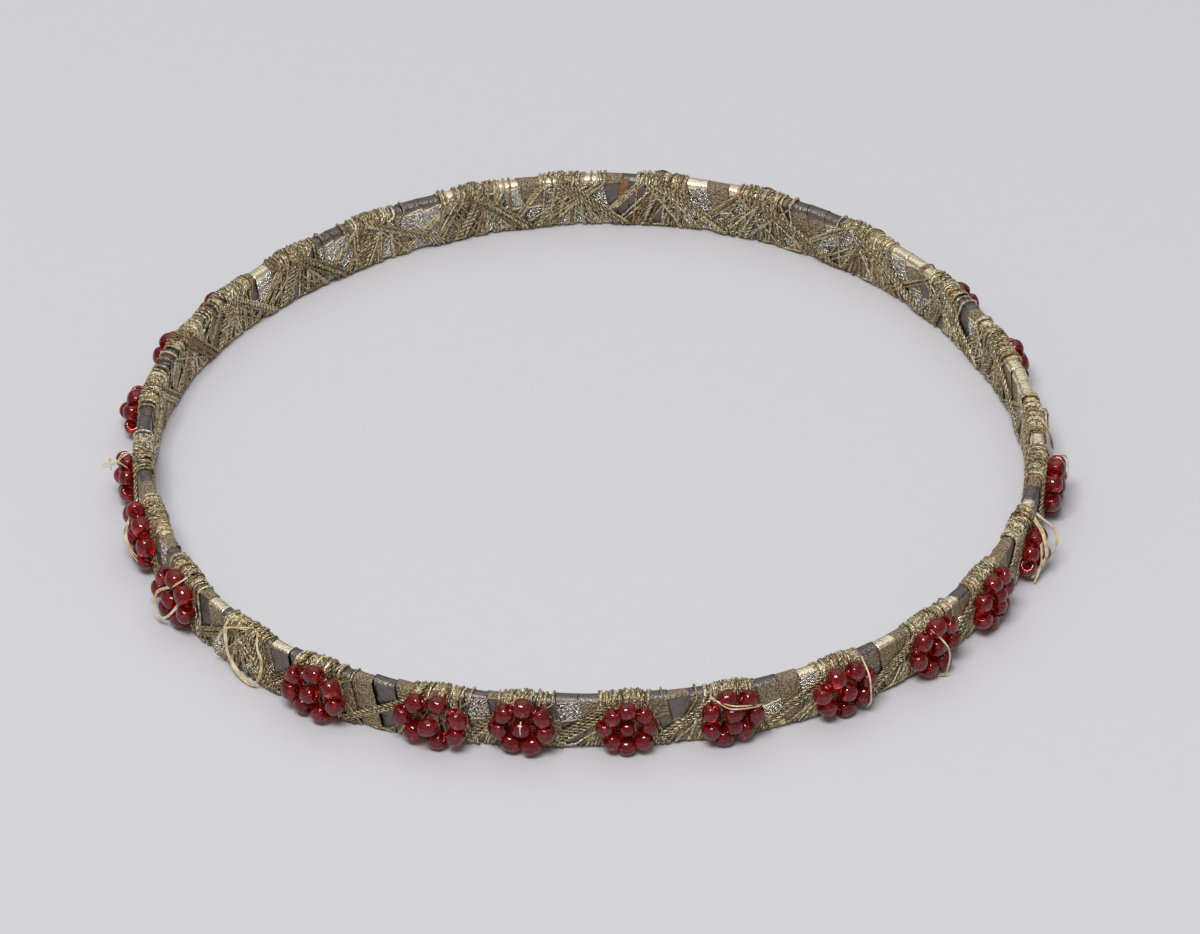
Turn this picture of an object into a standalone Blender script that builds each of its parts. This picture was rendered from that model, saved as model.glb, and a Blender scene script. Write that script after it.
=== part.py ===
"""A small dressed headband: a hand-bent metal strip, close-wound with foil ribbon, crossed by two lays of
gilt thread, with flowers of strung glass beads sewn round its outside.

The hoop lies flat: +Z up, its lowest windings on z = 0. Lengths are in millimetres until they are placed.
"""

import math

import bmesh
import bpy

MM = 0.001
TURN = 2 * math.pi

# The strip inside, bent round on edge. Each bend is (waves in one turn, depth, direction of a crest in degrees).
STRIP_RADIUS = 31.7
STRIP_HEIGHT = 3.44
STRIP_THICKNESS = 0.42
STRIP_STEP = 2.2
HAND_BENDS = ((2, 0.56, 31), (3, 0.4, 90), (4, 0.25, 57), (5, 0.18, 14), (6, 0.1, -7))
LAP_AT = 96.0
LAP_LENGTH = 6.0
LAP_TAPER = 1.0
LAP_GAP = 0.06

# The bent hoop's middle lies this far off the middle of the box that holds it and its flowers.
MIDDLE = (-0.31, -0.54)

# What is wound round the strip, from the inside out, with this much room between one layer and the next.
LAYER_GAP = 0.05
RIBBON_THICKNESS = 0.06
RIBBON_WIDTH = 1.42
RIBBON_SPACE = 0.16
RIBBON_LENGTHS = 3
THREAD_THICKNESS = 0.12
RISING_WIDTH = 1.3
FALLING_WIDTH = 1.1
LEG_STEP = 2.0

# Where each lay of thread crosses the strip's edges, beyond the middle of the flower beside the crossing.
RISING_LOW, RISING_RIM, RISING_RIM_INSIDE, RISING_LOW_INSIDE = 1.9, -0.5, -0.1, 1.5
FALLING_RIM, FALLING_LOW, FALLING_LOW_INSIDE, FALLING_RIM_INSIDE = 0.7, 2.3, 2.7, 0.2

# The glass beads, and the flowers sewn from them.
BEAD_DIAMETER = 1.3
CORE_BEAD_DIAMETER = 1.2
SEWING_GAP = 0.06
FOOT_GAP = 0.12
PETAL_SWELL = (0.3, 1.0, 1.0)

# The sewing thread, and the slack loop it is left in where a flower is lost.
SEWING_THREAD = 0.16
LOOP_WIDTH = 2.2
LOOP_HEIGHT = 3.0
LOOP_DRIFT = 0.9
LOOP_SLACK = 0.5
LOOP_LAP = 1.6 * SEWING_THREAD
LOOP_POINTS = 15

# Each style of flower: petal beads, slack thread between two of them, how much wider than tall their ring is, its
# turn in degrees, and how far the core bead stands out of the ring.
STYLES = {
    "star": (7, 0.2, 1.04, 12, 0.1),
    "ring": (8, 0.02, 1.03, 22, -0.05),
    "boss": (7, 0.27, 1.35, 0, 0.75),
    "pair": (7, 0.23, 1.08, 25, 0.45),
    "knot": (7, 0.0, 1.02, 13, 0.2),
    "bud": (6, 0.03, 1.02, 0, 0.3),
    "low": (6, 0.03, 1.25, 0, 0.6),
    "slant": (7, 0.23, 1.28, -14, 0.3),
    "lean": (7, 0.23, 1.28, 14, 0.3),
}

# Where the sewer put each flower, in degrees round the hoop from +X. Two have been lost: only their thread is left.
SEWN = (
    (4, "lost"), (21, "bud"), (35, "bud"), (51, "low"), (67, "bud"), (81, "bud"), (94, "low"),
    (106, "bud"), (122, "low"), (135, "low"), (148, "low"), (159, "bud"), (171, "low"), (185, "bud"),
    (198, "slant"), (211, "lean"), (225, "lost"), (236, "lean"), (251, "boss"), (262, "star"), (275, "ring"),
    (288, "pair"), (303, "slant"), (317, "star"), (329, "pair"), (341, "low"), (354, "knot"),
)


def remove_everything():
    for thing in list(bpy.data.objects):
        bpy.data.objects.remove(thing, do_unlink=True)


def finish(name, colour, roughness, metallic=0.0, transmission=0.0):
    material = bpy.data.materials.new(name)
    material.use_nodes = True
    shader = material.node_tree.nodes["Principled BSDF"]
    shader.inputs["Base Color"].default_value = (*colour, 1)
    shader.inputs["Roughness"].default_value = roughness
    shader.inputs["Metallic"].default_value = metallic
    shader.inputs["Transmission Weight"].default_value = transmission
    material.diffuse_color = (*colour, 1)
    return material


def hoop_radius(angle):
    """From the hoop's middle to the middle of the strip's thickness."""
    return STRIP_RADIUS + sum(
        depth * math.cos(waves * (angle - math.radians(crest))) for waves, depth, crest in HAND_BENDS
    )


def on_hoop(along, out, up):
    """The point so far along the hoop, out from the strip's middle and up from the strip's mid height."""
    angle = along / STRIP_RADIUS
    radius = hoop_radius(angle) + out
    x = MIDDLE[0] + radius * math.cos(angle)
    y = MIDDLE[1] + radius * math.sin(angle)
    return x * MM, y * MM, (HALF_HEIGHT + up) * MM


def along_of(degrees):
    return math.radians(degrees) * STRIP_RADIUS


def add(name, data, material, modifiers=()):
    thing = bpy.data.objects.new(name, data)
    thing.data.materials.append(material)
    HEADBAND.objects.link(thing)
    for kind, settings in modifiers:
        modifier = thing.modifiers.new(kind.title(), kind)
        for setting, value in settings.items():
            setattr(modifier, setting, value)
    return thing


def mesh_of(name, points, faces):
    mesh = bpy.data.meshes.new(name)
    mesh.from_pydata(points, [], faces)
    mesh.update()
    return mesh


# The height over the strip's face at which the middle of each layer runs, and where the outermost one ends.
RIBBON_LEVEL = LAYER_GAP + RIBBON_THICKNESS / 2
RISING_LEVEL = RIBBON_LEVEL + RIBBON_THICKNESS / 2 + LAYER_GAP + THREAD_THICKNESS / 2
FALLING_LEVEL = RISING_LEVEL + THREAD_THICKNESS + LAYER_GAP
DRESSED = FALLING_LEVEL + THREAD_THICKNESS / 2
HALF_HEIGHT = STRIP_HEIGHT / 2 + DRESSED


def stretch(first, last, outer, inner):
    """Sections of the strip, close enough together to follow the bend, with these offsets of its two faces."""
    steps = math.ceil((last - first) / STRIP_STEP)
    return [(first + (last - first) * step / steps, outer, inner) for step in range(steps + 1)]


def strip():
    """The bent strip. Its two ends are thinned from opposite faces, taper into the full thickness, and lap."""
    half, split = STRIP_THICKNESS / 2, LAP_GAP / 2
    start, circle = along_of(LAP_AT), TURN * STRIP_RADIUS
    body_start, body_end = start + LAP_LENGTH, start + circle - LAP_TAPER - LAP_GAP
    stations = stretch(start, body_start - LAP_TAPER, half, split)
    stations += stretch(body_start, body_end, half, -half)
    stations += stretch(body_end + LAP_TAPER, circle + body_start - LAP_TAPER - LAP_GAP, -split, -half)
    points = []
    for along, outer, inner in stations:
        for out, side in ((outer, -1), (outer, 1), (inner, 1), (inner, -1)):
            points.append(on_hoop(along, out, side * STRIP_HEIGHT / 2))
    faces = [(0, 1, 2, 3), tuple(4 * (len(stations) - 1) + corner for corner in (3, 2, 1, 0))]
    for first in range(0, 4 * (len(stations) - 1), 4):
        for corner in range(4):
            after = (corner + 1) % 4
            faces.append((first + corner, first + 4 + corner, first + 4 + after, first + after))
    return add("hoop_strip", mesh_of("hoop_strip", points, faces), DARK_METAL)


def wound_band(name, route, width, level, thickness, material):
    """A flat band laid round the strip. The route's stations are (along, side out, side up), each side from -1 to 1."""
    half_out, half_up = STRIP_THICKNESS / 2 + level, STRIP_HEIGHT / 2 + level
    points = []
    for along, out, up in route:
        for edge in (-width / 2, width / 2):
            points.append(on_hoop(along + edge, out * half_out, up * half_up))
    faces = [(at, at + 1, at + 3, at + 2) for at in range(0, len(points) - 2, 2)]
    solid = {"thickness": thickness * MM, "offset": 0, "use_even_offset": True, "use_quality_normals": True}
    return add(name, mesh_of(name, points, faces), material, [("SOLIDIFY", solid)])


def ribbon_route(first, turns, pitch):
    """Close turns that go down the outside and up the inside."""
    round_once = 2 * (STRIP_HEIGHT + STRIP_THICKNESS)
    shares = (0, STRIP_HEIGHT, STRIP_HEIGHT + STRIP_THICKNESS, 2 * STRIP_HEIGHT + STRIP_THICKNESS)
    corners = ((1, 1), (1, -1), (-1, -1), (-1, 1))
    return [
        (along_of(LAP_AT) + pitch * (first + turn + share / round_once), *corner)
        for turn in range(turns)
        for share, corner in zip(shares, corners)
    ]


def ribbons():
    circle = TURN * STRIP_RADIUS
    turns = int(circle / (RIBBON_WIDTH + RIBBON_SPACE) / RIBBON_LENGTHS)
    for length in range(RIBBON_LENGTHS):
        route = ribbon_route(length * turns, turns, circle / turns / RIBBON_LENGTHS)
        wound_band(f"foil_ribbon_{length + 1}", route, RIBBON_WIDTH, RIBBON_LEVEL, RIBBON_THICKNESS, FOIL[length])


def leg(first, last, out, climb):
    """One crossing of a face, from edge to edge, in steps short enough to follow the bend."""
    steps = math.ceil((last - first) / LEG_STEP)
    return [
        (first + (last - first) * step / steps, out, climb * (2 * step / steps - 1)) for step in range(steps + 1)
    ]


def threads():
    """Two lays of gilt thread, one turn of each to a flower. The rising lay climbs the outside from low on the
    right of one flower to the rim over the next, and the falling lay comes down steeply on the flower's right."""
    sewn = [along_of(degrees) for degrees, _ in SEWN]
    after = sewn[1:] + [sewn[0] + TURN * STRIP_RADIUS]
    rising, falling = [], []
    for here, following in zip(sewn[:-1], after[:-1]):
        rising += leg(here + RISING_LOW, following + RISING_RIM, 1, 1)
        rising += leg(following + RISING_RIM_INSIDE, following + RISING_LOW_INSIDE, -1, -1)
    for here, following in zip(sewn, after):
        falling += leg(here + FALLING_RIM, here + FALLING_LOW, 1, -1)
        falling += leg(here + FALLING_LOW_INSIDE, following + FALLING_RIM_INSIDE, -1, 1)
    wound_band("gilt_thread_rising_lay", rising, RISING_WIDTH, RISING_LEVEL, THREAD_THICKNESS, GILT)
    wound_band("gilt_thread_falling_lay", falling, FALLING_WIDTH, FALLING_LEVEL, THREAD_THICKNESS, GILT)


def flower(number, degrees, style):
    """A ring of petal beads on their thread, and the core bead sewn into it, flat against the dressed hoop."""
    petals, slack, spread, turn, lift = STYLES[style]
    angle, tilt = math.radians(degrees), math.radians(turn)
    radius = petals * (BEAD_DIAMETER + slack) / TURN
    half_width, half_height = radius * math.sqrt(spread), radius / math.sqrt(spread)
    reach = math.hypot(half_width * math.sin(tilt), half_height * math.cos(tilt)) + BEAD_DIAMETER / 2
    rise = FOOT_GAP + reach - HALF_HEIGHT
    stand_off = STRIP_THICKNESS / 2 + DRESSED + SEWING_GAP + BEAD_DIAMETER / 2

    curve = bpy.data.curves.new(f"flower_{number:02d}_petals", "CURVE")
    curve.dimensions = "3D"
    curve.bevel_depth = BEAD_DIAMETER / 2 * MM
    curve.bevel_resolution = 1
    spline = curve.splines.new("POLY")
    spline.use_cyclic_u = True
    spline.points.add(petals * len(PETAL_SWELL) - 1)
    for index, point in enumerate(spline.points):
        phase = TURN * index / len(spline.points)
        across, up = half_width * math.cos(phase), half_height * math.sin(phase)
        point.co = (
            0,
            (across * math.cos(tilt) - up * math.sin(tilt)) * MM,
            (across * math.sin(tilt) + up * math.cos(tilt)) * MM,
            1,
        )
        point.radius = PETAL_SWELL[index % len(PETAL_SWELL)]
    ring = add(curve.name, curve, RUBY)
    ring.location = on_hoop(along_of(degrees), stand_off, rise)
    ring.rotation_euler.z = angle

    core = bmesh.new()
    bmesh.ops.create_uvsphere(core, u_segments=8, v_segments=4, radius=CORE_BEAD_DIAMETER / 2 * MM)
    mesh = bpy.data.meshes.new(f"flower_{number:02d}_core")
    core.to_mesh(mesh)
    core.free()
    mesh.shade_smooth()
    bead = add(mesh.name, mesh, RUBY)
    bead.location = on_hoop(along_of(degrees), stand_off + lift, rise)
    bead.rotation_euler.z = angle


def sewing_loop(number, degrees):
    """The slack loop of sewing thread that a lost flower has left behind. Its end lies over its beginning."""
    stand_off = STRIP_THICKNESS / 2 + DRESSED + SEWING_GAP + SEWING_THREAD
    curve = bpy.data.curves.new(f"sewing_loop_{number:02d}", "CURVE")
    curve.dimensions = "3D"
    curve.bevel_depth = SEWING_THREAD / 2 * MM
    curve.bevel_resolution = 1
    curve.use_fill_caps = True
    spline = curve.splines.new("POLY")
    spline.points.add(LOOP_POINTS - 1)
    for index, point in enumerate(spline.points):
        share = index / (len(spline.points) - 1)
        across = LOOP_WIDTH / 2 * math.sin(TURN * share) + LOOP_DRIFT * (share - 0.5)
        up = LOOP_HEIGHT / 2 * math.cos(TURN * share)
        clear = LOOP_SLACK * math.sin(math.pi * share) + LOOP_LAP * share
        point.co = (*on_hoop(along_of(degrees) + across, stand_off + clear, up), 1)
    add(curve.name, curve, SEWING)


remove_everything()
HEADBAND = bpy.data.collections.new("headband")
bpy.context.scene.collection.children.link(HEADBAND)
DARK_METAL = finish("dark_metal", (0.11, 0.11, 0.13), 0.35, metallic=0.9)
FOIL = (
    finish("dark_foil", (0.17, 0.14, 0.14), 0.3, metallic=0.9),
    finish("silver_foil", (0.52, 0.51, 0.49), 0.4, metallic=1.0),
    finish("brown_foil", (0.36, 0.3, 0.22), 0.55, metallic=0.6),
)
GILT = finish("gilt_thread", (0.55, 0.46, 0.29), 0.45, metallic=0.5)
RUBY = finish("ruby_glass", (0.5, 0.02, 0.03), 0.08, transmission=0.4)
SEWING = finish("sewing_thread", (0.82, 0.76, 0.6), 0.8)

strip()
ribbons()
threads()
for position, (placed_at, flower_style) in enumerate(SEWN, 1):
    if flower_style == "lost":
        sewing_loop(position, placed_at)
    else:
        flower(position, placed_at, flower_style)
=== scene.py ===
"""A small dressed headband: a hand-bent metal strip, close-wound with tarnished foil ribbon, crossed by lays of
two-ply gilt thread, with flowers of ruby glass beads sewn round its outside.

The sections follow the making: the strip, the ribbon, the gilt thread, the flowers, the sewing, and then the
table, the light and the camera. Lengths are in millimetres until a point is placed on the hoop.
"""

import math
import random

import bpy
from mathutils import Matrix, Vector


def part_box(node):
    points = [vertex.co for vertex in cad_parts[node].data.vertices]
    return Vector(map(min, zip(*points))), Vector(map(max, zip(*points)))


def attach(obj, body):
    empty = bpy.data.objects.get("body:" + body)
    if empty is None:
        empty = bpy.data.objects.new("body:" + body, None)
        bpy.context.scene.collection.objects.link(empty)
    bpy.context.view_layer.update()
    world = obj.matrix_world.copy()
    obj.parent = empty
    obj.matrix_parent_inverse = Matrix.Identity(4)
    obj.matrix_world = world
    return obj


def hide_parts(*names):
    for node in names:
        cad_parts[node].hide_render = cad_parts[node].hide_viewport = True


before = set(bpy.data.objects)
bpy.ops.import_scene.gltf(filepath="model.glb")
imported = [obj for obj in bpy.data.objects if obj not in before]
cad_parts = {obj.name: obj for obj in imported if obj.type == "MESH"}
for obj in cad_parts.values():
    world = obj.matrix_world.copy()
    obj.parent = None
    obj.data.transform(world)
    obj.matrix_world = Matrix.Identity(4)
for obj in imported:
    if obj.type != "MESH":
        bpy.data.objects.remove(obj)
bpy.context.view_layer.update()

# The strip. Thin flat metal, bent round on edge by hand, so not quite a circle: each bend is its waves in one turn,
# its depth, and the direction of a crest in degrees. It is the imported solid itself, and is wound over all round.
MM = 0.001
TURN = 2 * math.pi
STRIP_RADIUS, STRIP_HEIGHT, STRIP_THICKNESS = 31.7, 3.44, 0.42
HAND_BENDS = ((2, 0.56, 31), (3, 0.4, 90), (4, 0.25, 57), (5, 0.18, 14), (6, 0.1, -7))
HOOP_MIDDLE = (-0.31, -0.54)
strip_low, strip_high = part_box("hoop_strip")
STRIP_MID = (strip_low.z + strip_high.z) / 2


def on_hoop(along, out, up):
    """The point so far along the hoop, out from the strip's middle and up from its mid height, in metres."""
    angle = along / STRIP_RADIUS
    bends = sum(depth * math.cos(waves * (angle - math.radians(crest))) for waves, depth, crest in HAND_BENDS)
    radius = STRIP_RADIUS + bends + out
    x, y = HOOP_MIDDLE[0] + radius * math.cos(angle), HOOP_MIDDLE[1] + radius * math.sin(angle)
    return Vector((x * MM, y * MM, STRIP_MID + up * MM))


class Plug:
    """An output in a node tree. Arithmetic written on it adds Math nodes to the same tree."""

    def __init__(self, tree, socket):
        self.tree, self.socket = tree, socket

    def maths(self, operation, *terms):
        return make(self.tree, "ShaderNodeMath", {"operation": operation}, dict(enumerate(terms)))

    def __add__(self, term):
        return self.maths("ADD", self, term)

    def __radd__(self, term):
        return self.maths("ADD", term, self)

    def __sub__(self, term):
        return self.maths("SUBTRACT", self, term)

    def __rsub__(self, term):
        return self.maths("SUBTRACT", term, self)

    def __mul__(self, term):
        return self.maths("MULTIPLY", self, term)

    def __rmul__(self, term):
        return self.maths("MULTIPLY", term, self)

    def __truediv__(self, term):
        return self.maths("DIVIDE", self, term)

    def __rtruediv__(self, term):
        return self.maths("DIVIDE", term, self)

    def step(self, low, high):
        """0 below low and 1 above high, easing between them."""
        settings = {"interpolation_type": "SMOOTHSTEP"}
        sockets = {"Value": self, "From Min": low, "From Max": high}
        return make(self.tree, "ShaderNodeMapRange", settings, sockets)


def make(tree, kind, settings=None, sockets=None, output=0):
    """Adds a node, sets it, fills its sockets with values or links, and returns one of its outputs."""
    node = tree.nodes.new(kind)
    for name, value in (settings or {}).items():
        setattr(node, name, value)
    for name, value in (sockets or {}).items():
        if isinstance(value, Plug):
            tree.links.new(value.socket, node.inputs[name])
        else:
            node.inputs[name].default_value = value
    return Plug(tree, node.outputs[output]) if node.outputs else None


def new_finish(name):
    """A new material, its node tree, and where an object's own coordinates come out."""
    material = bpy.data.materials.new(name)
    material.use_nodes = True
    tree = material.node_tree
    return material, tree, make(tree, "ShaderNodeTexCoord", output="Object")


def shade(tree, fixed, linked):
    """Sets the Principled shader's constants, and links what varies over the surface."""
    shader = tree.nodes["Principled BSDF"]
    for name, value in fixed.items():
        shader.inputs[name].default_value = value
    for name, plug in linked.items():
        tree.links.new(plug.socket, shader.inputs[name])


def noise(tree, where, size, detail=2.0, roughness=0.5):
    """Soft noise with lumps of about this size in millimetres."""
    return make(tree, "ShaderNodeTexNoise", None,
                {"Vector": where, "Scale": 1 / (size * MM), "Detail": detail, "Roughness": roughness})


def blend(tree, factor, first, second):
    """One colour going over to another."""
    return make(tree, "ShaderNodeMix", {"data_type": "RGBA"}, {"Factor": factor, 6: first, 7: second}, 2)


def relief(tree, height, depth):
    """A bump of this depth in millimetres."""
    return make(tree, "ShaderNodeBump", None, {"Height": height, "Strength": 1.0, "Distance": depth * MM})


strip_finish, tree, where = new_finish("tarnished_strip")
stain = noise(tree, where, 0.9, 3.0)
shade(tree, {"Metallic": 0.85, "IOR": 1.5}, {
    "Base Color": blend(tree, stain.step(0.4, 0.65), (0.05, 0.045, 0.05, 1), (0.16, 0.13, 0.1, 1)),
    "Roughness": 0.28 + 0.3 * stain,
    "Normal": relief(tree, noise(tree, where, 0.12), 0.01),
})
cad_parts["hoop_strip"].data.materials.clear()
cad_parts["hoop_strip"].data.materials.append(strip_finish)

# The foil ribbon. Thin flat silver-gilt foil in three lengths, wound round the strip in close turns that lap a
# little, every second turn over its neighbours. Turn by turn it is smooth and dark with tarnish, rubbed and brown,
# still gilt, or crinkled and silver. One short end at the back is stained by rust.
RIBBON_TURNS, RIBBON_WIDTH, RIBBON_THICKNESS, RIBBON_LEVEL = 126, 1.7, 0.04, 0.25
RIBBON_LENGTHS, RIBBON_START, RIBBON_LAP, RIBBON_TUCK = 3, 96.0, 0.05, 0.07
RIBBON_STEP, RIBBON_FACE_STEPS, RIM_STEPS = 0.14, 8, 6
CRINKLE_DEPTH, CRINKLE_SIZE = 0.1, 0.25
STAINED_DEGREES, STAINED_LEAN, STAINED_WIDTH, STAINED_LEVEL, STAINED_CRINKLE = 85.6, 0.4, 0.7, 0.3, 0.05
PRESSED_LEVEL = 0.31


def on_section(around, level):
    """Where a thing wound at this level lies on the strip's section. around is 0 to 1 up the outside, 1 to 2 over
    the rim, 2 to 3 down the inside and 3 to 4 underneath. It gives how far out, how far up, and which way is off
    the strip. Underneath, the hoop's weight presses everything down to one level."""
    side, share = divmod(around % 4, 1)
    half_out, half_up = STRIP_THICKNESS / 2, STRIP_HEIGHT / 2
    if side % 2 == 0:
        out, up, off = half_out + level, half_up * (2 * share - 1), (1, 0)
    else:
        thirds = share * 3  # a quarter bend, then the flat edge, then another quarter bend
        bend = min(1, thirds) + max(0, thirds - 2)
        flat = min(1, max(0, thirds - 1))
        off = math.cos(bend * math.pi / 2), math.sin(bend * math.pi / 2)
        rim_level = min(level, PRESSED_LEVEL) if side == 3 else level
        out, up = half_out * (1 - 2 * flat) + level * off[0], half_up + rim_level * off[1]
    sign = 1 if side < 2 else -1
    return sign * out, sign * up, (sign * off[0], sign * off[1])


def wind(stops, face_steps):
    """The line of a thing wound through these stops, each (along, around, level), and the way off the strip at each
    of its points."""
    points, facings = [], []
    for (along, around, level), (next_along, next_around, next_level) in zip(stops, stops[1:]):
        on_face = math.floor(min(around, next_around)) % 2 == 0
        steps = face_steps if on_face else RIM_STEPS
        for step in range(steps):
            share = step / steps
            here = along + (next_along - along) * share
            height = level + (next_level - level) * share
            out, up, off = on_section(around + (next_around - around) * share, height)
            points.append(on_hoop(here, out, up))
            angle = here / STRIP_RADIUS
            facings.append(Vector((off[0] * math.cos(angle), off[0] * math.sin(angle), off[1])))
    return points, facings


def guide(name, runs):
    """A mesh of bare edges for Geometry Nodes to follow. Each run is (points, facings, {attribute: value})."""
    points, edges, facings, extra = [], [], [], {}
    for run_points, run_facings, values in runs:
        edges += [(at, at + 1) for at in range(len(points), len(points) + len(run_points) - 1)]
        points += run_points
        facings += run_facings
        for key, value in values.items():
            extra.setdefault(key, []).extend(value if isinstance(value, list) else [value] * len(run_points))
    mesh = bpy.data.meshes.new(name)
    mesh.from_pydata(points, edges, [])
    mesh.attributes.new("facing", "FLOAT_VECTOR", "POINT").data.foreach_set(
        "vector", [part for facing in facings for part in facing])
    for key, value in extra.items():
        mesh.attributes.new(key, "FLOAT", "POINT").data.foreach_set("value", value)
    thing = bpy.data.objects.new(name, mesh)
    bpy.context.scene.collection.objects.link(thing)
    return thing


def new_tree(name, inputs):
    """A Geometry Nodes tree with these named inputs, and its input plugs by name."""
    tree = bpy.data.node_groups.new(name, "GeometryNodeTree")
    tree.interface.new_socket("Geometry", in_out="INPUT", socket_type="NodeSocketGeometry")
    for label, kind in inputs:
        tree.interface.new_socket(label, in_out="INPUT", socket_type=kind)
    tree.interface.new_socket("Geometry", in_out="OUTPUT", socket_type="NodeSocketGeometry")
    entry = tree.nodes.new("NodeGroupInput")
    return tree, {socket.name: Plug(tree, socket) for socket in entry.outputs if socket.name}


def close_tree(tree, geometry, finish):
    """Ends a tree: every instance made real, smooth, and given its material."""
    geometry = make(tree, "GeometryNodeRealizeInstances", None, {"Geometry": geometry})
    geometry = make(tree, "GeometryNodeSetShadeSmooth", None, {"Geometry": geometry})
    geometry = make(tree, "GeometryNodeSetMaterial", None, {"Geometry": geometry, "Material": finish})
    make(tree, "NodeGroupOutput", None, {"Geometry": geometry})


def grow(thing, tree, inputs):
    """Runs a tree on an object and leaves the result as the object's plain mesh."""
    modifier = thing.modifiers.new(tree.name, "NODES")
    modifier.node_group = tree
    for item in tree.interface.items_tree:
        if item.in_out == "INPUT" and item.name in inputs:
            modifier[item.identifier] = inputs[item.name]
    bpy.context.view_layer.update()
    evaluated = thing.evaluated_get(bpy.context.evaluated_depsgraph_get())
    mesh = bpy.data.meshes.new_from_object(evaluated)
    thing.modifiers.remove(modifier)
    thing.data = mesh
    mesh.name = thing.name
    return thing


FLOAT, MATERIAL = "NodeSocketFloat", "NodeSocketMaterial"
ribbon_tree, give = new_tree("wound_foil_ribbon", [
    ("Width", FLOAT), ("Thickness", FLOAT), ("Step", FLOAT), ("Crinkle depth", FLOAT), ("Crinkle size", FLOAT),
    ("Finish", MATERIAL)])
line = make(ribbon_tree, "GeometryNodeMeshToCurve", None, {"Mesh": give["Geometry"]})
line = make(ribbon_tree, "GeometryNodeResampleCurve", {"mode": "LENGTH"}, {"Curve": line, "Length": give["Step"]})
facing = make(ribbon_tree, "GeometryNodeInputNamedAttribute", {"data_type": "FLOAT_VECTOR"}, {"Name": "facing"})
line = make(ribbon_tree, "GeometryNodeSetCurveNormal", {"mode": "FREE"}, {"Curve": line, "Normal": facing})
flat = make(ribbon_tree, "GeometryNodeCurvePrimitiveQuadrilateral", None,
            {"Width": give["Thickness"], "Height": give["Width"]})
flat = make(ribbon_tree, "GeometryNodeResampleCurve", {"mode": "LENGTH"}, {"Curve": flat, "Length": give["Step"]})
band = make(ribbon_tree, "GeometryNodeCurveToMesh", None, {"Curve": line, "Profile Curve": flat, "Fill Caps": True})
place = make(ribbon_tree, "GeometryNodeInputPosition")
crease = make(ribbon_tree, "ShaderNodeTexVoronoi", {"feature": "F1"},
              {"Vector": place, "Scale": 1.0 / give["Crinkle size"]})
lump = make(ribbon_tree, "ShaderNodeTexNoise", None,
            {"Vector": place, "Scale": 0.6 / give["Crinkle size"], "Detail": 2.0})
silver = make(ribbon_tree, "GeometryNodeInputNamedAttribute", {"data_type": "FLOAT"}, {"Name": "finish"})
lift = (crease * 0.9 + lump - 0.9) * (silver.step(0.6, 0.75) * 0.9 + 0.1) * give["Crinkle depth"]
push = make(ribbon_tree, "ShaderNodeVectorMath", {"operation": "SCALE"}, {0: facing, "Scale": lift})
band = make(ribbon_tree, "GeometryNodeSetPosition", None, {"Geometry": band, "Offset": push})
close_tree(ribbon_tree, band, give["Finish"])

foil_finish, tree, where = new_finish("tarnished_foil")
kind = make(tree, "ShaderNodeAttribute", {"attribute_name": "finish"}, output="Fac")
blotch = noise(tree, where, 0.5, 3.0, 0.6)
grain = noise(tree, where, 0.11, 2.0, 0.7)
facet = make(tree, "ShaderNodeTexVoronoi", {"feature": "F1"}, {"Vector": where, "Scale": 1 / (0.2 * MM)})
kind = kind + (blotch - 0.5) * 0.3
brown, gilt, silver = kind.step(0.24, 0.3), kind.step(0.5, 0.54), kind.step(0.66, 0.72)
rust = kind.step(1.2, 1.3)
colour = blend(tree, blotch, (0.12, 0.105, 0.10, 1), (0.28, 0.25, 0.225, 1))
colour = blend(tree, brown, colour, (0.46, 0.36, 0.24, 1))
colour = blend(tree, grain.step(0.45, 0.6) * brown, colour, (0.13, 0.09, 0.045, 1))
colour = blend(tree, gilt, colour, (1.0, 0.86, 0.62, 1))
colour = blend(tree, silver, colour, (0.92, 0.89, 0.82, 1))
colour = blend(tree, silver * grain.step(0.5, 0.6), colour, (0.14, 0.105, 0.06, 1))
colour = blend(tree, rust, colour, (0.40, 0.20, 0.09, 1))
shade(tree, {"IOR": 1.5}, {
    "Base Color": colour,
    "Metallic": 1.0 - 0.35 * brown * (1 - gilt) - 0.7 * rust,
    "Roughness": 0.32 + 0.1 * brown - 0.24 * gilt + 0.12 * grain + 0.3 * rust,
    "Normal": relief(tree, (facet + grain) * (0.3 + 0.7 * brown - 0.8 * gilt + 1.8 * silver), 0.14),
})


def ribbon_stops(first, turns):
    """Close turns that go down the outside and up the inside. The end is tucked under the next length."""
    pitch = TURN * STRIP_RADIUS / RIBBON_TURNS
    round_once = 2 * (STRIP_HEIGHT + STRIP_THICKNESS)
    shares = (0, STRIP_HEIGHT, STRIP_HEIGHT + STRIP_THICKNESS, 2 * STRIP_HEIGHT + STRIP_THICKNESS)
    start = math.radians(RIBBON_START) * STRIP_RADIUS
    stops = []
    for turn in range(turns + 1):
        for corner, share in enumerate(shares):
            level = RIBBON_LEVEL + RIBBON_LAP * (turn % 2) - RIBBON_TUCK * (turn == turns and corner > 0)
            stops.append((start + pitch * (first + turn + share / round_once), 1 - 4 * turn - corner, level))
    overlap = 2
    return stops[:4 * turns + overlap]


DARK, BROWN, GILT, SILVER, RUST = 0.1, 0.38, 0.6, 0.9, 1.5
chance = random.Random(11)


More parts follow.
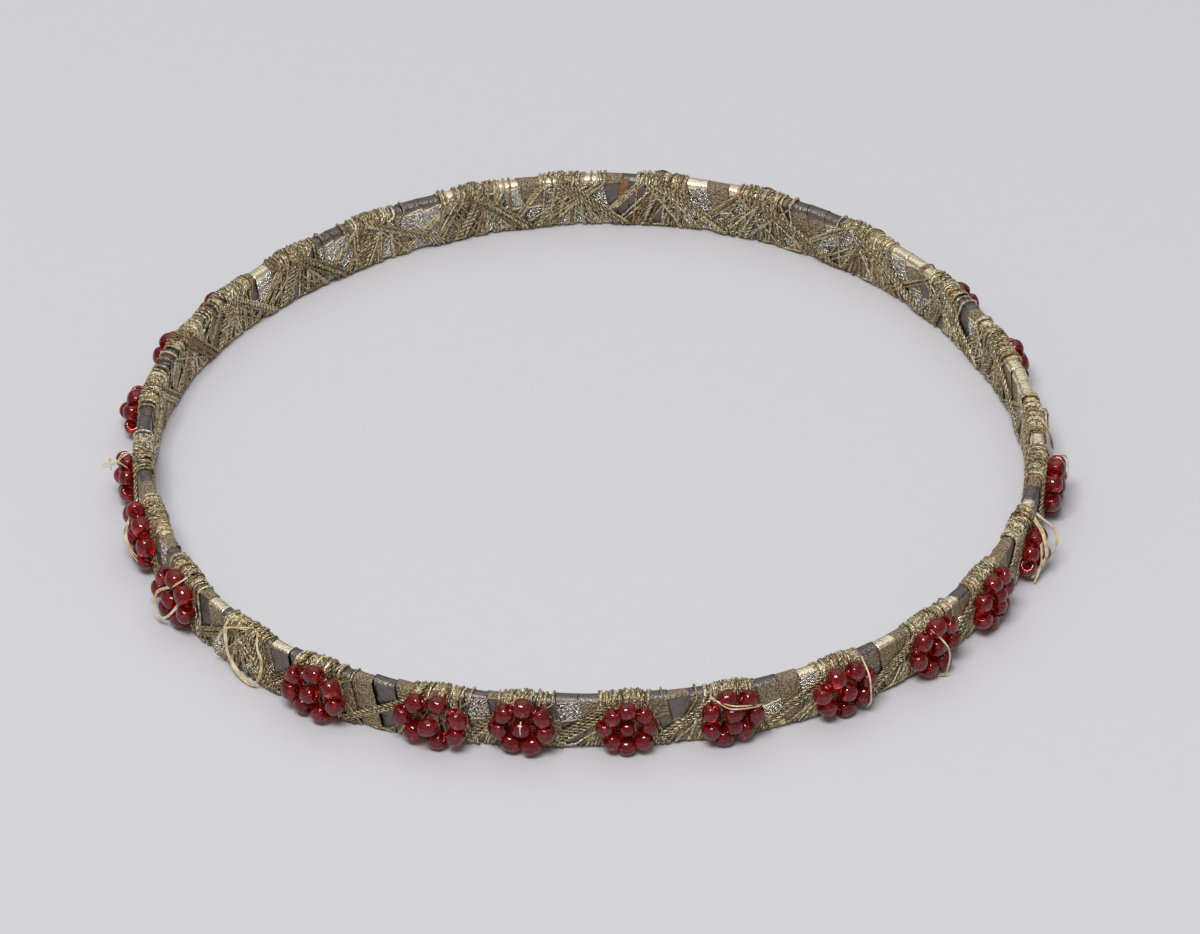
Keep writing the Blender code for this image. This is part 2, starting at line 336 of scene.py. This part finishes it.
def ribbon_finishes(stops, face_steps):
    """How each point of the wound ribbon looks. A face can change half way across, and a rim is one finish."""
    marks = []
    for (along, around, _), (_, next_around, _) in zip(stops, stops[1:]):
        side = math.floor(min(around, next_around)) % 4
        if side % 2 == 0:
            kinds = (DARK, DARK, BROWN, BROWN, BROWN, SILVER) if side == 0 else (DARK, BROWN, SILVER, SILVER)
            upper, lower = chance.choice(kinds), chance.choice(kinds)
            marks += [upper] * (face_steps // 2) + [lower] * (face_steps // 2)
        else:
            angle = along / STRIP_RADIUS
            bright = math.sin(angle) > 0.5 or math.cos(angle) > 0.4
            kinds = (DARK, BROWN, GILT, GILT) if bright else (DARK, DARK, DARK, DARK, BROWN, BROWN, GILT)
            mark = chance.choice(kinds)
            marks += [mark] * RIM_STEPS
    return marks


for length in range(RIBBON_LENGTHS):
    turns = RIBBON_TURNS // RIBBON_LENGTHS
    stops = ribbon_stops(length * turns, turns)
    points, facings = wind(stops, RIBBON_FACE_STEPS)
    finishes = ribbon_finishes(stops, RIBBON_FACE_STEPS)
    ribbon = guide(f"foil_ribbon_turns_{length + 1}", [(points, facings, {"finish": finishes})])
    grow(ribbon, ribbon_tree, {
        "Width": RIBBON_WIDTH * MM, "Thickness": RIBBON_THICKNESS * MM, "Step": RIBBON_STEP * MM,
        "Crinkle depth": CRINKLE_DEPTH * MM, "Crinkle size": CRINKLE_SIZE * MM, "Finish": foil_finish})
    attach(ribbon, "root")
    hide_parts(f"foil_ribbon_{length + 1}")

stained_at = math.radians(STAINED_DEGREES) * STRIP_RADIUS
stained_foot = math.radians(STAINED_DEGREES + STAINED_LEAN) * STRIP_RADIUS
points, facings = wind([(stained_at, 1.8, STAINED_LEVEL), (stained_at, 2, STAINED_LEVEL),
                        (stained_foot, 2.65, STAINED_LEVEL)], RIBBON_FACE_STEPS)
stained = guide("foil_ribbon_stained_end", [(points, facings, {"finish": RUST})])
grow(stained, ribbon_tree, {
    "Width": STAINED_WIDTH * MM, "Thickness": RIBBON_THICKNESS * MM, "Step": RIBBON_STEP * MM,
    "Crinkle depth": STAINED_CRINKLE * MM, "Crinkle size": CRINKLE_SIZE * MM, "Finish": foil_finish})
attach(stained, "root")

# The gilt thread. Two plies of silk wrapped in fine gilt wire, twisted together and wound over the ribbon: one lay
# climbs the outside to the rim over each flower, and one comes down steeply beside it. Finer thread packs in behind
# the flowers and fans out from over them. Each flower is given as its place in degrees and its style.
SEWN = (
    (4, "lost"), (21, "bud"), (35, "bud"), (51, "low"), (67, "bud"), (81, "bud"), (94, "low"),
    (106, "bud"), (122, "low"), (135, "low"), (148, "low"), (159, "bud"), (171, "low"), (185, "bud"),
    (198, "slant"), (211, "lean"), (225, "lost"), (236, "lean"), (251, "boss"), (262, "star"), (275, "ring"),
    (288, "pair"), (303, "slant"), (317, "star"), (329, "pair"), (341, "low"), (354, "knot"),
)
THREAD_WIDTH, THREAD_TWIST = 0.28, 0.75
RINGS_TO_A_TWIST, PLY_DIP = 5.0, 0.34
FINE_WIDTH, FINE_LOBE = 0.16, 0.8
THREAD_STRAY, THREAD_FACE_STEPS, SHADE_RUN = 0.22, 4, 20
RISING_LOW, RISING_RIM, RISING_RIM_INSIDE, RISING_LOW_INSIDE = 1.9, -0.5, -0.1, 1.5
FALLING_RIM, FALLING_LOW, FALLING_LOW_INSIDE, FALLING_RIM_INSIDE = 0.7, 2.3, 2.7, 0.2
PACKING_TURNS = ((-2.5, -1.6, -1.9), (-1.7, -0.9, -0.6), (0.9, 0.1, 1.3), (1.7, 1.3, None))
PACKING_LEAN, PACKING_JUMP = 0.2, 2.6
FAN_TURNS, FAN_GATHER, FAN_GATHER_BEHIND, FAN_LEVELS = 16, 2.6, 3.7, (-0.03, 0.05)

INTEGER = "NodeSocketInt"
thread_tree, give = new_tree("two_ply_thread", [
    ("Width", FLOAT), ("Twist length", FLOAT), ("Rings to a twist", FLOAT), ("Finish", MATERIAL)])
line = make(thread_tree, "GeometryNodeMeshToCurve", None, {"Mesh": give["Geometry"]})
line = make(thread_tree, "GeometryNodeResampleCurve", {"mode": "LENGTH"},
            {"Curve": line, "Length": give["Twist length"] / give["Rings to a twist"]})
run = make(thread_tree, "GeometryNodeSplineParameter", output="Length")
line = make(thread_tree, "GeometryNodeSetCurveTilt", None, {"Curve": line, "Tilt": run * TURN / give["Twist length"]})
line = make(thread_tree, "GeometryNodeStoreNamedAttribute", {"data_type": "FLOAT", "domain": "POINT"},
            {"Geometry": line, "Name": "run", "Value": run / give["Twist length"]})
plies = make(thread_tree, "GeometryNodeCurvePrimitiveCircle", None, {"Resolution": 8, "Radius": 1.0})
across = make(thread_tree, "ShaderNodeSeparateXYZ", None,
              {"Vector": make(thread_tree, "GeometryNodeInputPosition")})
# The lobe value is 1 on the crest of a ply and low in the groove between the two plies. The material uses it to paint
# shade into the groove.
lobe = across.maths("MAXIMUM", across.maths("ABSOLUTE", across), PLY_DIP)
plies = make(thread_tree, "GeometryNodeStoreNamedAttribute", {"data_type": "FLOAT", "domain": "POINT"},
             {"Geometry": plies, "Name": "lobe", "Value": lobe})
spread = make(thread_tree, "ShaderNodeVectorMath", {"operation": "SCALE"},
              {0: make(thread_tree, "GeometryNodeInputPosition"), "Scale": lobe * give["Width"] * 0.5})
plies = make(thread_tree, "GeometryNodeSetPosition", None, {"Geometry": plies, "Position": spread})
thread = make(thread_tree, "GeometryNodeCurveToMesh", None,
              {"Curve": line, "Profile Curve": plies, "Fill Caps": True})
close_tree(thread_tree, thread, give["Finish"])

fine_tree, give = new_tree("fine_thread", [("Width", FLOAT), ("Lobe", FLOAT), ("Finish", MATERIAL)])
line = make(fine_tree, "GeometryNodeMeshToCurve", None, {"Mesh": give["Geometry"]})
line = make(fine_tree, "GeometryNodeStoreNamedAttribute", {"data_type": "FLOAT", "domain": "POINT"},
            {"Geometry": line, "Name": "lobe", "Value": give["Lobe"]})
girth = make(fine_tree, "GeometryNodeCurvePrimitiveCircle", None, {"Resolution": 5, "Radius": give["Width"] * 0.5})
thread = make(fine_tree, "GeometryNodeCurveToMesh", None,
              {"Curve": line, "Profile Curve": girth, "Fill Caps": True})
close_tree(fine_tree, thread, give["Finish"])

gilt_finish, tree, where = new_finish("gilt_thread")
lobe = make(tree, "ShaderNodeAttribute", {"attribute_name": "lobe"}, output="Fac")
tint = make(tree, "ShaderNodeAttribute", {"attribute_name": "tint"}, output="Fac")
wear = noise(tree, where, 0.9, 3.0, 0.6)
grime = noise(tree, where, 0.16, 3.0, 0.6)
colour = blend(tree, tint.step(0.0, 0.5), (0.41, 0.26, 0.12, 1), (0.64, 0.52, 0.31, 1))
colour = blend(tree, tint.step(0.5, 1.0), colour, (1.0, 0.87, 0.62, 1))
right = make(tree, "ShaderNodeSeparateXYZ", None, {"Vector": where}).step(0.0, 0.025)
colour = blend(tree, wear.step(0.5, 0.66) * (0.25 + 0.4 * right), colour, (0.44, 0.48, 0.31, 1))
colour = blend(tree, grime.step(0.48, 0.6) * 0.85, colour, (0.10, 0.065, 0.03, 1))
# Painted shade: the groove between the two plies, where the lobe value is low, is painted nearly black, standing in
# for the shadow where the plies meet.
colour = blend(tree, 1 - lobe.step(0.4, 0.85), colour, (0.045, 0.028, 0.012, 1))
shade(tree, {"IOR": 1.5}, {
    "Base Color": colour,
    "Metallic": 0.75 * lobe.step(0.5, 0.9),
    "Roughness": 0.12 + 0.36 * grime,
    "Normal": relief(tree, grime, 0.14),
})

sewn_at = [math.radians(degrees) * STRIP_RADIUS for degrees, _ in SEWN]
sewn_after = sewn_at[1:] + [sewn_at[0] + TURN * STRIP_RADIUS]
hand = random.Random(7)


def strayed(stops):
    """The same stops as a hand would lay them, each a little off its place."""
    return [(along + hand.uniform(-1, 1) * THREAD_STRAY, around, level) for along, around, level in stops]


def rising_stops(offset, level):
    """Up the outside in a long slant to the rim over the next flower, and down the inside more steeply."""
    stops = []
    for turn, (here, following) in enumerate(zip(sewn_at[:-1], sewn_after[:-1])):
        stops += [(here + RISING_LOW + offset, 4 * turn, level),
                  (following + RISING_RIM + offset, 4 * turn + 1, level),
                  (following + RISING_RIM_INSIDE + offset, 4 * turn + 2, level),
                  (following + RISING_LOW_INSIDE + offset, 4 * turn + 3, level)]
    return strayed(stops)


def falling_stops(offset, level):
    """Down the outside close beside each flower, and back up the inside in a long slant to the next."""
    stops = []
    for turn, (here, following) in enumerate(zip(sewn_at, sewn_after)):
        stops += [(here + FALLING_RIM + offset, 1 - 4 * turn, level),
                  (here + FALLING_LOW + offset, -4 * turn, level),
                  (here + FALLING_LOW_INSIDE + offset, -1 - 4 * turn, level),
                  (following + FALLING_RIM_INSIDE + offset, -2 - 4 * turn, level)]
    return strayed(stops)


def packing_stops(offset, level):
    """Short turns behind each flower, leaning in over it from both sides, and a jump to the next."""
    stops, around = [], 0
    for here, following in zip(sewn_at, sewn_after):
        for foot, top, heel in PACKING_TURNS:
            last = following - PACKING_JUMP if heel is None else here + heel
            stops += [(here + foot + offset, around, level), (here + top + offset, around + 1, level),
                      (here + top + PACKING_LEAN + offset, around + 2, level), (last + offset, around + 3, level)]
            around += 4
    return strayed(stops)


def fan_stops(offset, level):
    """Fine thread in open fans: it gathers on the rim over each flower and spreads low down."""
    stops, around = [], 0
    for here, following in zip(sewn_at, sewn_after):
        reach = (following - here) / 2
        gather = FAN_GATHER_BEHIND if math.sin(here / STRIP_RADIUS) > 0.1 else FAN_GATHER
        low = here - reach
        for _ in range(FAN_TURNS):
            rim = here + hand.triangular(-gather, gather, 0)
            height = level + hand.uniform(*FAN_LEVELS)
            stops += [(low, around, height), (rim, around + 1, height), (rim + offset, around + 2, height)]
            low = here + hand.uniform(-reach, reach)
            stops.append((low, around + 3, height))
            around += 4
    return stops


LAYS = {
    "packing": (packing_stops, (), 0.36, (-0.3, -0.1, 0.1, 0.3)),
    "fan": (fan_stops, (), 0.41, (0.1,)),
    "rising": (rising_stops, ("gilt_thread_rising_lay",), 0.43, (-0.6, -0.2, 0.15, 0.55)),
    "falling": (falling_stops, ("gilt_thread_falling_lay",), 0.5, (-0.5, -0.17, 0.17, 0.5)),
}
for lay, (stops_of, nodes, level, offsets) in LAYS.items():
    runs = []
    for offset in offsets:
        stops = stops_of(offset, level)
        points, facings = wind(stops, THREAD_FACE_STEPS)
        tints = [tint for _ in range(len(points) // SHADE_RUN + 1) for tint in [hand.random()] * SHADE_RUN]
        runs.append((points, facings, {"tint": tints[:len(points)]}))
    thread = guide(f"gilt_thread_{lay}", runs)
    if nodes:
        grow(thread, thread_tree, {"Width": THREAD_WIDTH * MM, "Twist length": THREAD_TWIST * MM,
                                   "Rings to a twist": RINGS_TO_A_TWIST, "Finish": gilt_finish})
        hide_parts(*nodes)
    else:
        grow(thread, fine_tree, {"Width": FINE_WIDTH * MM, "Lobe": FINE_LOBE, "Finish": gilt_finish})
    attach(thread, "root")

# The bead flowers. Six to eight seed beads of ruby glass strung in a ring, with one or two more sewn into the
# middle. Each bead is a short piece cut from a glass tube and fire-rounded, so it has a hole and soft ends.
BEAD_DIAMETER, CORE_DIAMETER, BEAD_LENGTH_SHARE = 1.42, 1.36, 0.85
BEAD_HOLE, BEAD_UNEVENNESS = 0.2, 0.16
BEAD_ROUND, BEAD_WALL_ROUND = 26, 14
BEAD_SPACING, THREAD_DEPTH, BEAD_SEAT, FOOT_GAP = 1.3, 0.45, 0.6, 0.12
STAND_OFF = STRIP_THICKNESS / 2 + THREAD_DEPTH + BEAD_SEAT
RING_STRAY, RING_STRAY_OUT = 0.08, (-0.1, 0.12)
CORE_STRAY, CORE_TURN, CORE_PAIR, CORE_SEED = 0.1, 0.6, ((0, 0.5, 0.1), (0.05, -0.5, -0.1)), 100
# A style is the number of petal beads, the slack between two, how much wider than tall the ring is, its turn in
# degrees, how far the core stands out, the number of core beads, and the scale of the ring and its beads.
STYLES = {
    "star": (7, 0.2, 1.04, 12, 0.1, 1, 1.0),
    "ring": (8, 0.02, 1.03, 22, -0.05, 1, 0.89),
    "boss": (7, 0.27, 1.35, 0, 0.75, 1, 1.0),
    "pair": (7, 0.23, 1.08, 25, 0.3, 2, 0.96),
    "knot": (7, 0.0, 1.02, 13, 0.2, 1, 1.0),
    "bud": (6, 0.03, 1.02, 0, 0.3, 1, 0.92),
    "low": (6, 0.03, 1.25, 0, 0.6, 1, 0.92),
    "slant": (7, 0.23, 1.28, -14, 0.3, 1, 1.0),
    "lean": (7, 0.23, 1.28, 14, 0.3, 1, 1.0),
}

bead_tree, give = new_tree("strung_beads", [
    ("Bead diameter", FLOAT), ("Bead length", FLOAT), ("Hole", FLOAT), ("Unevenness", FLOAT), ("Seed", INTEGER),
    ("Finish", MATERIAL)])
wall = (give["Bead diameter"] - give["Hole"]) * 0.25
girth = make(bead_tree, "GeometryNodeCurvePrimitiveCircle", None,
             {"Resolution": BEAD_ROUND, "Radius": (give["Bead diameter"] + give["Hole"]) * 0.25})
round_wall = make(bead_tree, "GeometryNodeCurvePrimitiveCircle", None, {"Resolution": BEAD_WALL_ROUND, "Radius": 1.0})
stretch = make(bead_tree, "ShaderNodeCombineXYZ", None, {"X": wall, "Y": give["Bead length"] * 0.5, "Z": 1.0})
shape = make(bead_tree, "ShaderNodeVectorMath", {"operation": "MULTIPLY"},
             {0: make(bead_tree, "GeometryNodeInputPosition"), 1: stretch})
round_wall = make(bead_tree, "GeometryNodeSetPosition", None, {"Geometry": round_wall, "Position": shape})
bead = make(bead_tree, "GeometryNodeCurveToMesh", None, {"Curve": girth, "Profile Curve": round_wall})
thread_way = make(bead_tree, "GeometryNodeInputNamedAttribute", {"data_type": "FLOAT_VECTOR"}, {"Name": "facing"})
turned = make(bead_tree, "FunctionNodeAlignRotationToVector", {"axis": "Z"}, {"Vector": thread_way})
uneven = make(bead_tree, "FunctionNodeRandomValue", {"data_type": "FLOAT_VECTOR"},
              {"Min": (-1, -1, -1), "Max": (1, 1, 1), "Seed": give["Seed"]})
wobble = make(bead_tree, "ShaderNodeVectorMath", {"operation": "SCALE"}, {0: uneven, "Scale": give["Unevenness"]})
wobbled = make(bead_tree, "FunctionNodeEulerToRotation", None, {"Euler": wobble})
turned = make(bead_tree, "FunctionNodeRotateRotation", None, {"Rotation": turned, "Rotate By": wobbled})
sized = make(bead_tree, "ShaderNodeVectorMath", {"operation": "MULTIPLY_ADD"},
             {0: wobble, 1: (0.35, 0.35, 0.6), 2: (1.0, 1.0, 1.0)})
beads = make(bead_tree, "GeometryNodeInstanceOnPoints", None,
             {"Points": give["Geometry"], "Instance": bead, "Rotation": turned, "Scale": sized})
close_tree(bead_tree, beads, give["Finish"])

ruby_finish, tree, where = new_finish("ruby_glass")
streak = noise(tree, where, 0.7, 1.0)
shade(tree, {"Transmission Weight": 0.84, "IOR": 1.55}, {
    "Base Color": blend(tree, streak, (0.37, 0.006, 0.008, 1), (0.57, 0.014, 0.016, 1)),
    "Roughness": 0.01 + 0.03 * streak,
})


def strung(name, degrees, rise, beads, diameter, seed, nodes):
    """Beads at these places on the hoop's outside, each (across, up, out, which way its thread runs)."""
    angle = math.radians(degrees)
    across_way = Vector((-math.sin(angle), math.cos(angle), 0))
    points, facings = [], []
    for across, up, out, way in beads:
        middle = on_hoop(math.radians(degrees) * STRIP_RADIUS, STAND_OFF + out, rise + up)
        points.append(middle + across_way * across * MM)
        facings.append(across_way * math.cos(way) + Vector((0, 0, math.sin(way))))
    piece = guide(name, [(points, facings, {})])
    grow(piece, bead_tree, {
        "Bead diameter": diameter * MM, "Bead length": BEAD_LENGTH_SHARE * diameter * MM, "Hole": BEAD_HOLE * MM,
        "Unevenness": BEAD_UNEVENNESS, "Seed": seed, "Finish": ruby_finish})
    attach(piece, "root")
    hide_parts(*nodes)


half_dressed = (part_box("gilt_thread_falling_lay")[1].z - STRIP_MID) / MM
for number, (degrees, style) in enumerate(SEWN, 1):
    if style == "lost":
        continue
    petals, slack, wide, turn, core_out, core_beads, small = STYLES[style]
    tilt, radius = math.radians(turn), petals * (BEAD_SPACING + slack) / TURN * small
    half_width, half_height = radius * math.sqrt(wide), radius / math.sqrt(wide)
    reach = math.hypot(half_width * math.sin(tilt), half_height * math.cos(tilt)) + BEAD_SPACING / 2
    rise = FOOT_GAP + reach - half_dressed
    ring = []
    for petal in range(petals):
        phase = TURN * (petal + 0.5) / petals
        x, y = half_width * math.cos(phase), half_height * math.sin(phase)
        along, climb = -half_width * math.sin(phase), half_height * math.cos(phase)
        ring.append((x * math.cos(tilt) - y * math.sin(tilt) + hand.uniform(-RING_STRAY, RING_STRAY),
                     x * math.sin(tilt) + y * math.cos(tilt) + hand.uniform(-RING_STRAY, RING_STRAY),
                     hand.uniform(*RING_STRAY_OUT), math.atan2(climb, along) + tilt))
    strung(f"petal_beads_{number:02d}", degrees, rise, ring, BEAD_DIAMETER * small, number,
           [f"flower_{number:02d}_petals"])
    if core_beads == 1:
        core = [(hand.uniform(-CORE_STRAY, CORE_STRAY), hand.uniform(-CORE_STRAY, CORE_STRAY), core_out,
                 hand.uniform(-CORE_TURN, CORE_TURN))]
    else:
        core = [(across, up, core_out, way) for across, up, way in CORE_PAIR]
    strung(f"core_bead_{number:02d}", degrees, rise, core, CORE_DIAMETER * small, CORE_SEED + number,
           [f"flower_{number:02d}_core"])

# The sewing thread. Cream silk that holds the flowers, loose in loops and stitches where they have worked free. Each
# stitch is where on the hoop it is, how thick, how many strands lie side by side, and its way: across, up and out
# from the dressed face.
STITCHES = (
    (225, 0.17, 1, ((-1.6, 2.2, -0.7), (-1.8, 1.4, 0.1), (-1.3, -0.6, 0.3), (-0.2, -1.7, 0.35), (0.8, -2.0, 0.3))),
    (225, 0.1, 4, ((-1.7, 1.5, 0.1), (-1.2, -0.7, 0.3), (0.7, -1.9, 0.3), (1.6, -1.0, 0.25), (1.7, 0.4, 0.2),
                   (1.3, 1.6, 0.1), (0.9, 2.2, -0.5))),
    (225, 0.11, 2, ((0.3, 2.2, -0.6), (-0.6, 2.0, 0.0), (-1.6, 1.5, 0.15), (-2.4, 0.2, 0.2), (-2.3, -0.2, 0.2))),
    (225, 0.09, 1, ((-1.9, -0.3, 0.1), (-2.2, -0.9, 0.2), (-2.8, -1.5, 0.2))),
    (4, 0.11, 3, ((-0.9, 2.1, -0.4), (-1.2, 1.2, 0.2), (-0.6, -0.4, 0.5), (0.5, -0.9, 0.5), (1.2, 0.2, 0.4),
                  (0.9, 1.6, 0.2), (0.5, 2.2, -0.4))),
    (211, 0.12, 2, ((0.9, 2.1, -0.2), (0.5, 1.6, 0.8), (-0.4, 0.6, 1.6), (-0.6, -0.8, 1.7), (-0.2, -1.5, 1.5),
                    (0.6, -0.9, 1.2), (1.2, 0.6, 0.6), (1.3, 1.8, 0.1))),
    (262, 0.09, 1, ((0.0, 0.1, 1.2), (-0.02, 0.6, 1.25), (0.0, 1.1, 1.0))),
    (288, 0.1, 2, ((-1.4, 1.9, 0.0), (-0.5, 1.75, 1.25), (0.5, 1.6, 1.3), (1.6, 1.2, 0.9), (2.3, 0.6, 0.1))),
    (303, 0.13, 1, ((1.5, 2.2, 0.0), (1.4, 1.3, 1.1), (1.35, 0.1, 1.45), (1.45, -1.0, 1.3), (1.5, -1.7, 0.8))),
    (317, 0.13, 1, ((-0.5, 2.0, 0.4), (-0.2, 1.2, 1.5), (0.2, 0.2, 1.6), (0.3, -0.9, 1.5), (0.1, -1.9, 1.3),
                    (-0.2, -2.1, 0.5))),
    (341, 0.13, 4, ((0.6, 2.1, 0.2), (0.1, 1.3, 1.0), (-0.4, 0.2, 1.5), (-0.5, -0.8, 1.3), (-1.2, -1.6, 0.8))),
    (341, 0.14, 2, ((1.2, 2.0, 0.2), (1.5, 0.7, 1.5), (0.8, -0.3, 1.7), (-0.1, -1.2, 1.3), (-0.5, -1.9, 0.9))),
    (341, 0.07, 34, ((-0.2, 0.6, 1.0), (-0.5, -0.6, 1.2), (-0.9, -1.4, 1.1), (-1.2, -2.0, 1.0))),
    (354, 0.08, 2, ((1.4, 1.6, 0.3), (1.9, 1.2, 1.2), (1.6, 0.5, 1.4), (0.7, 0.2, 1.3))),
    (185, 0.07, 3, ((0.6, 2.2, 0.0), (1.0, 2.4, 0.6), (1.7, 2.2, 1.3), (1.9, 2.3, 2.0), (2.1, 2.2, 2.3))),
    (185, 0.1, 1, ((0.9, 1.2, 0.4), (0.6, 1.7, 1.2), (0.0, 1.3, 1.6), (0.4, 0.6, 1.5))),
    (198, 0.09, 2, ((-1.2, 0.9, 0.9), (0.1, 0.2, 1.45), (1.4, -0.6, 1.1), (1.9, -0.9, 0.3))),
)

sewing_tree, give = new_tree("sewing_thread", [("Width", FLOAT), ("Finish", MATERIAL)])
line = make(sewing_tree, "GeometryNodeMeshToCurve", None, {"Mesh": give["Geometry"]})
line = make(sewing_tree, "GeometryNodeCurveSplineType", {"spline_type": "CATMULL_ROM"}, {"Curve": line})
line = make(sewing_tree, "GeometryNodeResampleCurve", {"mode": "LENGTH"}, {"Curve": line, "Length": give["Width"]})
girth = make(sewing_tree, "GeometryNodeCurvePrimitiveCircle", None, {"Resolution": 6, "Radius": give["Width"] * 0.5})
thread = make(sewing_tree, "GeometryNodeCurveToMesh", None,
              {"Curve": line, "Profile Curve": girth, "Fill Caps": True})
close_tree(sewing_tree, thread, give["Finish"])

silk_finish, tree, where = new_finish("cream_silk")
soil = noise(tree, where, 0.8, 3.0, 0.6)
shade(tree, {"IOR": 1.5, "Specular IOR Level": 0.3}, {
    "Base Color": blend(tree, soil.step(0.4, 0.65), (0.80, 0.70, 0.53, 1), (0.52, 0.38, 0.17, 1)),
    "Roughness": 0.55 + 0.2 * soil,
})

FACE_OUT = STRIP_THICKNESS / 2 + 0.6
STITCH_STRAY, STRAY_OUT_SHARE = 0.14, 0.4
LOST_FLOWERS = {2: "sewing_loop_17", 5: "sewing_loop_01"}
for number, (degrees, width, strands, way) in enumerate(STITCHES, 1):
    runs = []
    for _ in range(strands):
        stray = STITCH_STRAY * (strands > 1)
        points = [on_hoop(math.radians(degrees) * STRIP_RADIUS + across + hand.uniform(-stray, stray),
                          FACE_OUT + out + hand.uniform(-stray, stray) * STRAY_OUT_SHARE,
                          up + hand.uniform(-stray, stray))
                  for across, up, out in way]
        runs.append((points, [Vector((0, 0, 1))] * len(points), {}))
    stitch = guide(f"sewing_stitch_{number:02d}", runs)
    grow(stitch, sewing_tree, {"Width": width * MM, "Finish": silk_finish})
    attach(stitch, "root")
    if number in LOST_FLOWERS:
        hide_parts(LOST_FLOWERS[number])

# The table, the light and the camera. The hoop lies flat on pale paper. A softbox hangs over the camera's side, a
# little to the left, a wide panel fills from above and behind, and the pale room fills from all round.
paper_finish, tree, where = new_finish("pale_paper")
tooth = noise(tree, where, 1.2, 4.0, 0.6)
shade(tree, {"Specular IOR Level": 0.2}, {
    "Base Color": blend(tree, tooth, (0.565, 0.558, 0.578, 1), (0.59, 0.583, 0.603, 1)),
    "Roughness": 0.75 + 0.1 * tooth,
})
paper = bpy.data.meshes.new("table_paper")
HALF_TABLE = 1.5
corners = [(x * HALF_TABLE, y * HALF_TABLE, 0) for x, y in ((-1, -1), (1, -1), (1, 1), (-1, 1))]
paper.from_pydata(corners, [], [(0, 1, 2, 3)])
paper.materials.append(paper_finish)
table = bpy.data.objects.new("table_paper", paper)
bpy.context.scene.collection.objects.link(table)


def lamp(name, place, width, depth, watts):
    """A soft light panel that faces the hoop."""
    light = bpy.data.lights.new(name, "AREA")
    light.shape, light.size, light.size_y, light.energy = "RECTANGLE", width, depth, watts
    holder = bpy.data.objects.new(name, light)
    holder.matrix_world = Matrix.Translation(place) @ Vector(place).to_track_quat("Z", "Y").to_matrix().to_4x4()
    bpy.context.scene.collection.objects.link(holder)


lamp("softbox", (-0.14, -0.46, 0.9), 0.5, 0.28, 8.2)
lamp("ceiling", (0.0, 0.5, 1.2), 1.6, 1.6, 5.3)
world = bpy.data.worlds.new("room")
world.use_nodes = True
room = world.node_tree.nodes["Background"]
room.inputs["Color"].default_value = (0.96, 0.98, 1.0, 1)
room.inputs["Strength"].default_value = 0.27
bpy.context.scene.world = world
bpy.context.scene.view_settings.view_transform = "Standard"

AIM = Vector((0.43, 0.68, 0.0)) * MM
CAMERA_DISTANCE, CAMERA_RISE, CAMERA_ROLL, LENS, SENSOR = 0.6489, 36.73, 0.436, 271.6, 36.0
camera = bpy.data.objects.new("camera", bpy.data.cameras.new("camera"))
camera.data.lens, camera.data.sensor_width, camera.data.clip_start = LENS, SENSOR, 0.01
facing = Matrix.Rotation(math.radians(90 - CAMERA_RISE), 4, "X") @ Matrix.Rotation(math.radians(CAMERA_ROLL), 4, "Z")
camera.matrix_world = Matrix.Translation(AIM) @ facing @ Matrix.Translation((0, 0, CAMERA_DISTANCE))
bpy.context.scene.collection.objects.link(camera)
bpy.context.scene.camera = camera
